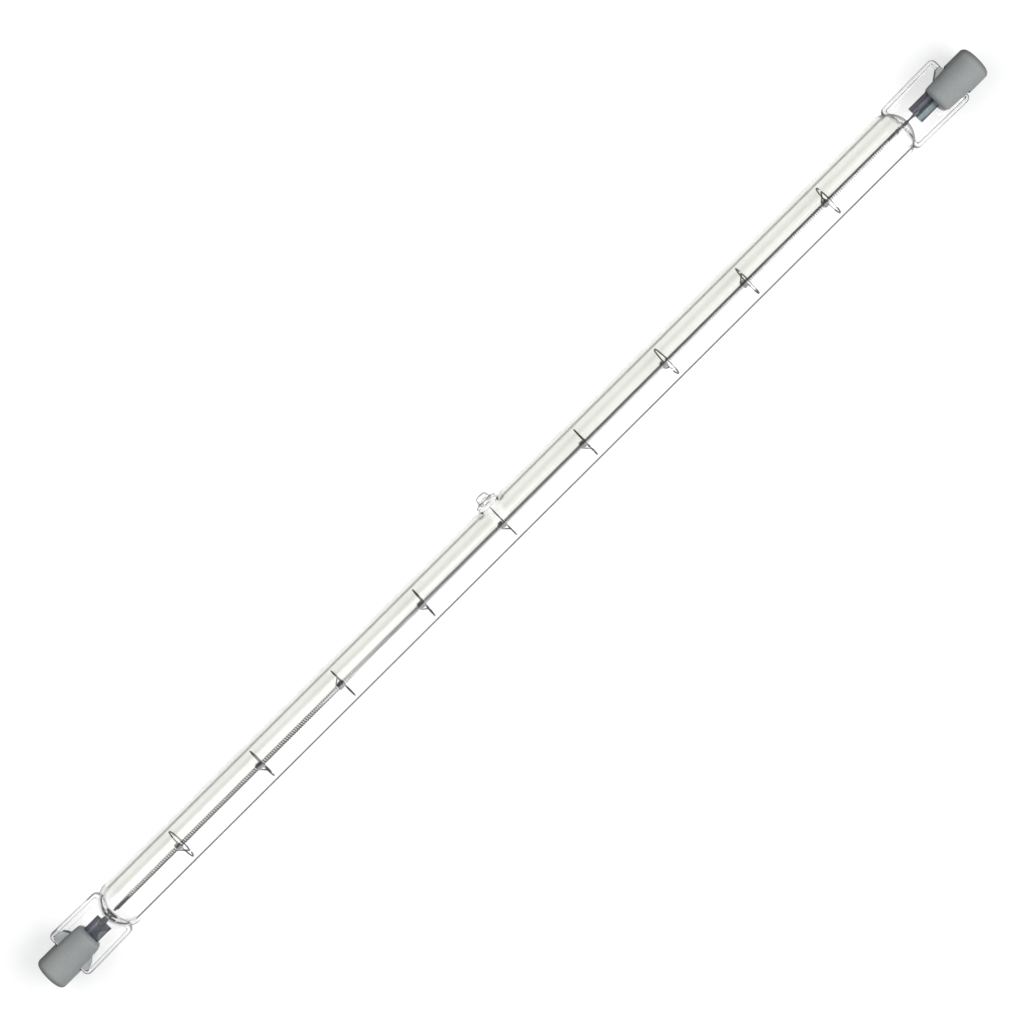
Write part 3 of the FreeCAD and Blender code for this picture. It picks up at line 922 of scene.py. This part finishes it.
def ceramic_cap(name, end):
    """A round bar with soft edges and a recess in its end, slotted into two jaws."""
    y = end["shift"]
    profile = [(CAP_INNER, 0.0)]
    profile += arc((CAP_INNER + JAW_EDGE, JAW_RADIUS - JAW_EDGE), JAW_EDGE, 180, 90, 6)
    profile += [(SLOT_FLOOR, CAP_RADIUS)]
    profile += arc((CAP_END - CAP_EDGE, CAP_RADIUS - CAP_EDGE), CAP_EDGE, 90, 0, 6)
    profile += arc((CAP_END - RECESS_EDGE, RECESS_RADIUS + RECESS_EDGE), RECESS_EDGE, 0, -90, 3)
    profile += [(BUTTON_FACE, RECESS_RADIUS), (BUTTON_FACE, SEAT_RADIUS), (BUTTON_BACK, SEAT_RADIUS),
                (BUTTON_BACK, 0.0)]
    cap = turned("cap_" + name, profile, 72, y)
    slot = box("slot", (CAP_INNER - 1, y - 5, -SLOT_HALF), (SLOT_FLOOR, y + 5, SLOT_HALF))
    settle(slot)
    finish_modifier(slot, "BEVEL", width=mm(0.3), segments=3, limit_method="ANGLE")
    combine(cap, slot, "DIFFERENCE")
    if end["side"] < 0:
        mirrored(cap)
    finish_modifier(cap, "BEVEL", width=mm(0.12), segments=2, limit_method="ANGLE",
                    angle_limit=math.radians(40))
    smooth(cap, 40)
    return cap


# Foils, leads, contacts and cement

# Lengthwise creases: places across the foil and how far each is lifted
FOIL_CREASES = ((-1.85, 0.02), (-0.75, -0.03), (-0.4, 0.05), (0.0, 0.0), (0.4, 0.04), (0.8, -0.02),
                (1.35, 0.02))
# The crease across it: how far in it lies, half its width and its lift. The long edges are thinned
FOIL_BEND = 1.0
FOIL_BEND_HALF = 0.5
FOIL_BEND_LIFT = 0.03
FOIL_FEATHER = 0.3


def foil(name, end):
    """A thin foil with lengthwise creases and feathered long edges, and one crease across it."""
    inner = end["foil"]
    bend = inner + FOIL_BEND
    low, high = FOIL_SIDES
    sheet = box("foil_" + name, (inner, low, FOIL_LEVEL - FOIL_HALF),
                (FOIL_OUTER_END, high, FOIL_LEVEL + FOIL_HALF))
    for crease, _ in FOIL_CREASES:
        bpy.ops.mesh.select_all(action="SELECT")
        bpy.ops.mesh.bisect(plane_co=mm(0, crease, 0), plane_no=(0, 1, 0))
    for place_mm in (bend - FOIL_BEND_HALF, bend, bend + FOIL_BEND_HALF):
        bpy.ops.mesh.select_all(action="SELECT")
        bpy.ops.mesh.bisect(plane_co=mm(place_mm, 0, 0), plane_no=(1, 0, 0))
    for crease, lift in FOIL_CREASES:
        pick(sheet, lambda point: abs(point.y - crease) < 0.01)
        move(0, 0, lift)
    pick(sheet, lambda point: abs(point.x - bend) < 0.01)
    move(0, 0, FOIL_BEND_LIFT)
    for edge_place in (low, high):
        pick(sheet, lambda point: abs(point.y - edge_place) < 0.01)
        scale(1, 1, FOIL_FEATHER, (0, edge_place, FOIL_LEVEL))
    settle(sheet)
    if end["side"] < 0:
        mirrored(sheet)
    smooth(sheet, 50)
    return sheet


# The leads' tongues: places from the foil's inner end towards the coil, and half widths
LEAD_TONGUES = {
    "left": ((-1.0, 0.5), (-0.3, 0.68), (0.35, 0.66), (0.9, 0.42), (1.35, 0.27)),
    "right": ((-1.0, 0.34), (-0.3, 0.36), (0.3, 0.3), (0.9, 0.2), (1.5, 0.2)),
}
TONGUE_TIP = ((-1.25, 0.3), (-1.3, 0.0))
# Half their thickness, and how far above the foil's middle they lie
TONGUE_HALF = 0.13
TONGUE_LIFT = 0.17
# How far the lead reaches into the coil, and its end's edge
LEAD_PLUG = 3.4
LEAD_EDGE = 0.06


def inner_lead(name, end):
    """A round wire from inside the coil, hammered flat into a tongue on the foil."""
    tongue = [(end["foil"] - offset, width) for offset, width in LEAD_TONGUES[name]]
    wire_end = end["coil"] - LEAD_PLUG
    profile = [(wire_end, 0.0), (wire_end, LEAD_RADIUS - LEAD_EDGE), (wire_end + LEAD_EDGE, LEAD_RADIUS),
               (tongue[-1][0] - 0.3, LEAD_RADIUS)]
    profile += list(reversed(tongue)) + [(tongue[0][0] + 0.25, tongue[0][1] * 0.6), (tongue[0][0] + 0.3, 0.0)]
    lead = turned("lead_" + name, profile, 20)
    edit(lead)
    for offset, width in LEAD_TONGUES[name] + TONGUE_TIP:
        pick(lead, lambda point: abs(point.x - end["foil"] + offset) < 0.02)
        scale(1, 1, TONGUE_HALF / max(width, 0.27))
    pick(lead, lambda point: point.x > end["foil"] - 0.4)
    move(0, 0, FOIL_LEVEL + TONGUE_LIFT)
    bpy.ops.mesh.select_all(action="SELECT")
    bpy.ops.mesh.normals_make_consistent(inside=False)
    settle(lead)
    if end["side"] < 0:
        mirrored(lead)
    smooth(lead, 50)
    return lead


# Places and radii of the contact, from its stem's end to its face
CONTACT_PROFILE = (
    (122.4, 0.0), (122.4, STEM_RADIUS - 0.06), (122.45, STEM_RADIUS), (BUTTON_BACK - 0.05, STEM_RADIUS),
    (BUTTON_BACK, BUTTON_RADIUS - 0.05), (BUTTON_BACK + 0.06, BUTTON_RADIUS),
    (BUTTON_FACE - 0.2, BUTTON_RADIUS), (BUTTON_FACE - 0.08, 1.34), (BUTTON_FACE - 0.05, 1.2),
    (BUTTON_FACE - 0.12, 1.12), (BUTTON_FACE - 0.12, 1.0), (BUTTON_FACE - 0.04, 0.9),
    (BUTTON_FACE - 0.01, 0.5), (BUTTON_FACE, 0.0))


def rod(name, start, stop, radius, y):
    """A plain round bar along X, to cut with."""
    return turned(name, ((start, 0.0), (start, radius), (stop, radius), (stop, 0.0)), 24, y)


def contact(name, end):
    """The button in the cap's end, a little domed and with a pressed ring, on its stem."""
    button = turned("contact_" + name, CONTACT_PROFILE, 48, end["shift"])
    socket = rod("socket", 121.9, 124.3, 0.41, end["shift"])
    combine(button, socket, "DIFFERENCE")
    if end["side"] < 0:
        mirrored(button)
    smooth(button, 40)
    return button


# Cement lumps beside the jaws: the outline in plan of each, as the photograph shows it, and half thickness
CEMENT_LUMPS = {
    "left": ((((117.6, 2.7), (118.0, 3.5), (118.6, 4.5), (119.8, 4.95), (121.0, 4.9), (121.7, 4.0),
               (121.7, 2.4), (119.6, 2.2)), 1.58),
             (((117.4, -2.9), (118.2, -3.6), (119.4, -4.5), (120.5, -4.95), (121.3, -4.75), (121.7, -3.7),
               (121.6, -2.7), (119.4, -2.6)), 1.55)),
    "right": ((((117.9, 1.9), (118.4, 2.3), (119.3, 2.95), (120.1, 3.6), (120.85, 3.72), (121.35, 3.1),
                (121.7, 2.0), (119.6, 1.7)), 1.58),
              (((118.6, -4.0), (119.4, -4.25), (120.4, -4.5), (121.1, -4.5), (121.6, -4.1), (121.6, -3.7),
                (120.4, -3.6), (119.4, -3.6)), 1.5)),
}
LUMP_CROWN = 0.82
BEAD_SETBACK = 0.8
BEAD_CLEARANCE = 0.01


def lump(outline, half):
    """A rounded lump over an outline in plan: its corners are dragged out, it is raised and softened."""
    count = len(outline)
    bpy.ops.object.select_all(action="DESELECT")
    bpy.ops.mesh.primitive_circle_add(vertices=count, radius=mm(1), fill_type="NGON")
    piece = begin("lump")
    for index, (x, y) in enumerate(outline):
        angle = 2 * math.pi * index / count
        corner = Vector((-math.sin(angle), math.cos(angle), 0))
        pick(piece, lambda point: (point - corner).length < 0.01)
        move(x - corner.x, y - corner.y)
    bpy.ops.mesh.select_all(action="SELECT")
    move(0, 0, -half)
    pull(0, 0, 2 * half)
    middle = (sum(x for x, _ in outline) / count, sum(y for _, y in outline) / count)
    for level in (-half, half):
        pick(piece, lambda point: abs(point.z - level) < 0.01)
        scale(LUMP_CROWN, LUMP_CROWN, 1, (*middle, 0))
    bpy.ops.mesh.select_all(action="SELECT")
    bpy.ops.mesh.normals_make_consistent(inside=False)
    settle(piece)
    finish_modifier(piece, "BEVEL", width=mm(0.3), segments=3, limit_method="ANGLE",
                    angle_limit=math.radians(30))
    return piece


def cement_bead(name, end):
    """The cement in a cap's slot and beside its jaws, cut clear of the pressed glass and the wire."""
    y = end["shift"]
    jaw = math.sqrt(JAW_RADIUS ** 2 - SLOT_HALF ** 2) - 0.05
    half = SLOT_HALF - BEAD_CLEARANCE
    bead = box("cement_" + name, (CAP_INNER + BEAD_SETBACK, y - jaw, -half),
               (SLOT_FLOOR - BEAD_CLEARANCE, y + jaw, half))
    settle(bead)
    finish_modifier(bead, "BEVEL", width=mm(0.1), segments=2, limit_method="ANGLE")
    for shape in CEMENT_LUMPS[name]:
        combine(bead, lump(*shape), "UNION")
    finish_modifier(bead, "REMESH", mode="VOXEL", voxel_size=mm(0.11), use_smooth_shade=True)
    grain = bpy.data.textures.new("Cement_Grain", "CLOUDS")
    grain.noise_scale = mm(0.5)
    finish_modifier(bead, "DISPLACE", texture=grain, strength=mm(0.14), mid_level=0.75)
    finish_modifier(bead, "SMOOTH", factor=0.5, iterations=2)
    combine(bead, seal_plate("cutter_" + name, end), "DIFFERENCE")
    combine(bead, rod("wire_hole", 120, 123, 0.42, y), "DIFFERENCE")
    combine(bead, rod("stem_space", SLOT_FLOOR, 124, 5.0, y), "DIFFERENCE")
    if end["side"] < 0:
        mirrored(bead)
    smooth(bead, 50)
    return bead


# The bulb

place(filament(), "tungsten", tungsten, "filament")
filament_supports()
place(envelope(), "quartz", quartz, "quartz_envelope")
for end_name, end in ENDS.items():
    place(ceramic_cap(end_name, end), "ceramic", ceramics[end_name], "ceramic_cap_" + end_name)
    place(foil(end_name, end), "seal_foil", foil_metals[end_name], "seal_foil_" + end_name)
    place(inner_lead(end_name, end), "lead_wire", lead_metals[end_name], "inner_lead_" + end_name)
    place(contact(end_name, end), "contact", contact_metal, "contact_button_" + end_name)
    place(cement_bead(end_name, end), "cement", cement, "cap_cement_" + end_name)
    outer_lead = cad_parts["outer_lead_" + end_name]
    outer_lead.data.materials.clear()
    outer_lead.data.materials.append(lead_metal)
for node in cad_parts.values():
    node.select_set(False)

# Floor, light and camera

FLOOR = -5.0
FLOOR_COLOUR = 0.45
# The floor's glow by the bulb, and the places from the middle between which it rises to white
FLOOR_GLOW = 0.54
GLOW_RISE = (300, 2400)
SKY_COLOUR = (0.93, 0.95, 1.0, 1)
SKY_STRENGTH = 0.45
WHITE = (1, 1, 1, 1)
CAMERA_HEIGHT = 650.0
VIEW_WIDTH = 199.7
SENSOR_WIDTH = 36


def white_floor():
    """A pale floor that shows white to the camera and keeps a soft shadow."""
    bpy.ops.object.select_all(action="DESELECT")
    bpy.ops.mesh.primitive_plane_add(size=6, location=mm(0, 0, FLOOR))
    floor = settle(bpy.context.object)
    floor.name = "floor"
    material = bpy.data.materials.new("White_Floor")
    material.use_nodes = True
    tree = material.node_tree
    nodes, links = tree.nodes, tree.links
    nodes.remove(nodes["Principled BSDF"])
    matt = nodes.new("ShaderNodeBsdfDiffuse")
    matt.inputs["Color"].default_value = (FLOOR_COLOUR, FLOOR_COLOUR, FLOOR_COLOUR, 1)
    glow = nodes.new("ShaderNodeEmission")
    glow.inputs["Color"].default_value = WHITE
    ray = nodes.new("ShaderNodeLightPath")
    seen = worked_out(tree, "MAXIMUM", ray.outputs["Is Camera Ray"], ray.outputs["Is Glossy Ray"])
    seen = worked_out(tree, "MAXIMUM", seen, ray.outputs["Is Transmission Ray"])
    # Beyond the lamps' reach the floor glows more, so that it meets the backdrop without an edge
    distance = nodes.new("ShaderNodeVectorMath")
    distance.operation = "LENGTH"
    where = nodes.new("ShaderNodeTexCoord")
    links.new(where.outputs["Object"], distance.inputs[0])
    level = ramp(tree, distance.outputs["Value"], *mm(*GLOW_RISE), FLOOR_GLOW, 1.0)
    links.new(product(tree, seen, level), glow.inputs["Strength"])
    both = nodes.new("ShaderNodeAddShader")
    links.new(matt.outputs["BSDF"], both.inputs[0])
    links.new(glow.outputs["Emission"], both.inputs[1])
    links.new(both.outputs["Shader"], nodes["Material Output"].inputs["Surface"])
    floor.data.materials.append(material)


def soft_lamp(name, place_mm, size_mm, power):
    """A large soft lamp that looks at the bulb's middle."""
    lamp = bpy.data.lights.new(name, "AREA")
    lamp.shape = "RECTANGLE"
    lamp.size, lamp.size_y = mm(*size_mm)
    lamp.energy = power
    holder = bpy.data.objects.new(name, lamp)
    bpy.context.scene.collection.objects.link(holder)
    holder.location = mm(*place_mm)
    holder.rotation_euler = (-Vector(place_mm)).to_track_quat("-Z", "Y").to_euler()


def studio_world():
    """A soft sky that lights the bulb, and plain white for what looks past the floor."""
    world = bpy.data.worlds.new("Studio")
    bpy.context.scene.world = world
    world.use_nodes = True
    tree = world.node_tree
    sky = tree.nodes["Background"]
    sky.inputs["Color"].default_value = SKY_COLOUR
    sky.inputs["Strength"].default_value = SKY_STRENGTH
    white = tree.nodes.new("ShaderNodeBackground")
    white.inputs["Color"].default_value = WHITE
    white.inputs["Strength"].default_value = 1.0
    ray = tree.nodes.new("ShaderNodeLightPath")
    seen = worked_out(tree, "MAXIMUM", ray.outputs["Is Camera Ray"], ray.outputs["Is Transmission Ray"])
    shown = mixed(tree, seen, sky.outputs["Background"], white.outputs["Background"])
    tree.links.new(shown, tree.nodes["World Output"].inputs["Surface"])


white_floor()
studio_world()
soft_lamp("Key", (500, -700, 900), (900, 600), 10.5)
soft_lamp("Fill", (-400, 450, 800), (800, 600), 4.0)

camera = bpy.data.objects.new("Camera", bpy.data.cameras.new("Camera"))
bpy.context.scene.collection.objects.link(camera)
camera.location = mm(0.782, 0.401, CAMERA_HEIGHT)
camera.rotation_euler = (0, 0, math.radians(-44.84))
camera.data.sensor_width = SENSOR_WIDTH
camera.data.lens = SENSOR_WIDTH * CAMERA_HEIGHT / VIEW_WIDTH
camera.data.clip_start, camera.data.clip_end = 0.01, 20
bpy.context.scene.camera = camera
bpy.context.scene.view_settings.view_transform = "Standard"
